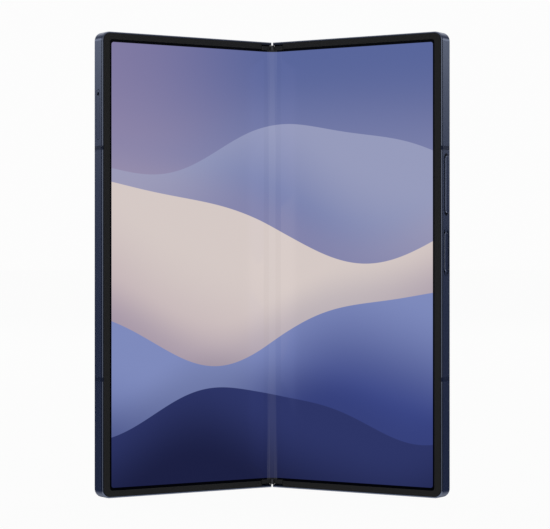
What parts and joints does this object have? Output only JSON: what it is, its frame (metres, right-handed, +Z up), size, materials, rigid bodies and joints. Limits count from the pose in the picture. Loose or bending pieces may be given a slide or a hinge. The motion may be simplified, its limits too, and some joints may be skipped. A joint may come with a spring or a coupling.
{
  "type": "foldable smartphone",
  "caption": "Book-style folding phone, half open on its short edges: flat metal halves joined by a geared spine, a bending screen inside, rear cameras, side keys and a card tray.",
  "frame": {"origin": "on the surface that the two short edges stand on, at the middle of the half-open phone's box", "axes": "+Z up along the fold, +X to the right half, -Y towards the inner screen's viewer"},
  "size_m": [0.1172, 0.0404, 0.1535],
  "materials": {
    "frame_metal": "satin anodised, navy",
    "spine_metal": "satin anodised, navy",
    "cap_metal": "moulded, matt, dark grey",
    "key_metal": "satin anodised, navy",
    "antenna_band": "matt, navy",
    "rim_black": "matt, soft black",
    "guard_grey": "matt, dark grey",
    "screen_film": "glossy, printed with soft blue shapes",
    "back_glass": "etched, navy",
    "cover_glass": "clear glass over a dark panel",
    "cover_panel": "glossy, dark",
    "gasket_black": "matt adhesive foam",
    "deck_metal": "satin anodised, navy",
    "ring_metal": "turned and polished, navy",
    "lens_glass": "coated, dark",
    "camera_black": "matt black",
    "flash_plastic": "clear over pale yellow",
    "hinge_steel": "machined",
    "gear_steel": "machined",
    "wing_steel": "rolled sheet",
    "screw_steel": "machined",
    "cable_film": "amber film",
    "cell_foil": "pouch foil under a black label",
    "board_green": "solder mask over copper",
    "can_steel": "folded sheet",
    "speaker_black": "moulded, matt",
    "port_steel": "drawn shell",
    "tongue_black": "moulded, with gold contacts",
    "motor_steel": "stamped can",
    "coil_copper": "wound copper wire",
    "switch_strip": "film with metal domes"
  },
  "bodies": {
    "spine": {"spine_cover": "spine_metal", "spine_cap_bottom": "cap_metal", "spine_cap_top": "cap_metal", "hinge_bracket_bottom": "hinge_steel", "hinge_bracket_top": "hinge_steel", "bracket_screws": "screw_steel", "friction_washers": "gear_steel", "hinge_ribbon_cable": "cable_film", "screen_fold": "screen_film"},
    "right_half": {"right_frame": "frame_metal", "right_rim": "rim_black", "right_screen": "screen_film", "right_end_guards": "guard_grey", "right_rotor_arms": "hinge_steel", "right_hinge_screws": "screw_steel", "right_antenna_bands": "antenna_band", "rear_glass": "back_glass", "rear_gasket": "gasket_black", "camera_deck": "deck_metal", "lens_rings": "ring_metal", "lens_glasses": "lens_glass", "camera_modules": "camera_black", "flash_window": "flash_plastic", "right_battery": "cell_foil", "main_board": "board_green", "bottom_board": "board_green", "right_board_screws": "screw_steel", "shield_can": "can_steel", "loudspeaker": "speaker_black", "usb_shell": "port_steel", "usb_tongue": "tongue_black", "vibration_motor": "motor_steel", "charging_coil": "coil_copper", "key_switches": "switch_strip"},
    "left_half": {"left_frame": "frame_metal", "left_rim": "rim_black", "left_screen": "screen_film", "left_end_guards": "guard_grey", "left_rotor_arms": "hinge_steel", "left_hinge_screws": "screw_steel", "left_antenna_bands": "antenna_band", "cover_glass": "cover_glass", "cover_gasket": "gasket_black", "cover_panel": "cover_panel", "cover_camera": "camera_black", "left_battery": "cell_foil", "second_board": "board_green", "left_board_screws": "screw_steel", "earpiece_speaker": "speaker_black", "card_reader": "can_steel"},
    "right_wing": {"right_wing_plate": "wing_steel"},
    "left_wing": {"left_wing_plate": "wing_steel"},
    "right_sync": {"right_sync_gears": "gear_steel"},
    "left_sync": {"left_sync_gears": "gear_steel"},
    "right_idler": {"right_idler_gears": "gear_steel"},
    "left_idler": {"left_idler_gears": "gear_steel"},
    "rocker": {"volume_rocker": "key_metal"},
    "power_key": {"side_key": "key_metal"},
    "tray": {"card_tray": "key_metal"}
  },
  "joints": [
    {"name": "right_fold", "type": "hinge", "parent": "spine", "child": "right_half", "pos_m": [0.0016, 0.01565, 0.07675], "axis": [0, 0, -1], "range_deg": [-32.65, 57.35], "deforming": ["screen_fold", "hinge_ribbon_cable"]},
    {"name": "left_fold", "type": "hinge", "parent": "spine", "child": "left_half", "pos_m": [-0.0016, 0.01565, 0.07675], "axis": [0, 0, 1], "range_deg": [-32.65, 57.35], "deforming": ["screen_fold", "hinge_ribbon_cable"]},
    {"name": "right_wing_tilt", "type": "hinge", "parent": "right_half", "child": "right_wing", "pos_m": [0.00676, 0.01258, 0.07675], "axis": [0, 0, -1], "range_deg": [-3.3, 5.8]},
    {"name": "left_wing_tilt", "type": "hinge", "parent": "left_half", "child": "left_wing", "pos_m": [-0.00676, 0.01258, 0.07675], "axis": [0, 0, 1], "range_deg": [-3.3, 5.8]},
    {"name": "right_sync_turn", "type": "hinge", "parent": "spine", "child": "right_sync", "pos_m": [0.0026, 0.01675, 0.07675], "axis": [0, 0, -1], "range_deg": [-32.65, 57.35]},
    {"name": "left_sync_turn", "type": "hinge", "parent": "spine", "child": "left_sync", "pos_m": [-0.0026, 0.01675, 0.07675], "axis": [0, 0, 1], "range_deg": [-32.65, 57.35]},
    {"name": "right_idler_turn", "type": "hinge", "parent": "spine", "child": "right_idler", "pos_m": [0.00087, 0.01675, 0.07675], "axis": [0, 0, 1], "range_deg": [-32.65, 57.35]},
    {"name": "left_idler_turn", "type": "hinge", "parent": "spine", "child": "left_idler", "pos_m": [-0.00087, 0.01675, 0.07675], "axis": [0, 0, -1], "range_deg": [-32.65, 57.35]},
    {"name": "volume_press", "type": "slide", "parent": "right_half", "child": "rocker", "axis": [-0.842, 0.5395, 0], "range_m": [0, 0.00025], "stiffness_N_per_m": 2000, "springref_m": -0.0002},
    {"name": "side_key_press", "type": "slide", "parent": "right_half", "child": "power_key", "axis": [-0.842, 0.5395, 0], "range_m": [0, 0.00025], "stiffness_N_per_m": 2000, "springref_m": -0.0002},
    {"name": "tray_slide", "type": "slide", "parent": "left_half", "child": "tray", "axis": [-0.842, -0.5395, 0], "range_m": [0, 0.016]}
  ],
  "couplings": [
    {"joint": "left_fold", "follows": "right_fold", "ratio": 1},
    {"joint": "right_wing_tilt", "follows": "right_fold", "ratio": 0.1},
    {"joint": "left_wing_tilt", "follows": "right_fold", "ratio": 0.1},
    {"joint": "right_sync_turn", "follows": "right_fold", "ratio": 1},
    {"joint": "left_sync_turn", "follows": "right_fold", "ratio": 1},
    {"joint": "right_idler_turn", "follows": "right_fold", "ratio": 1},
    {"joint": "left_idler_turn", "follows": "right_fold", "ratio": 1}
  ]
}
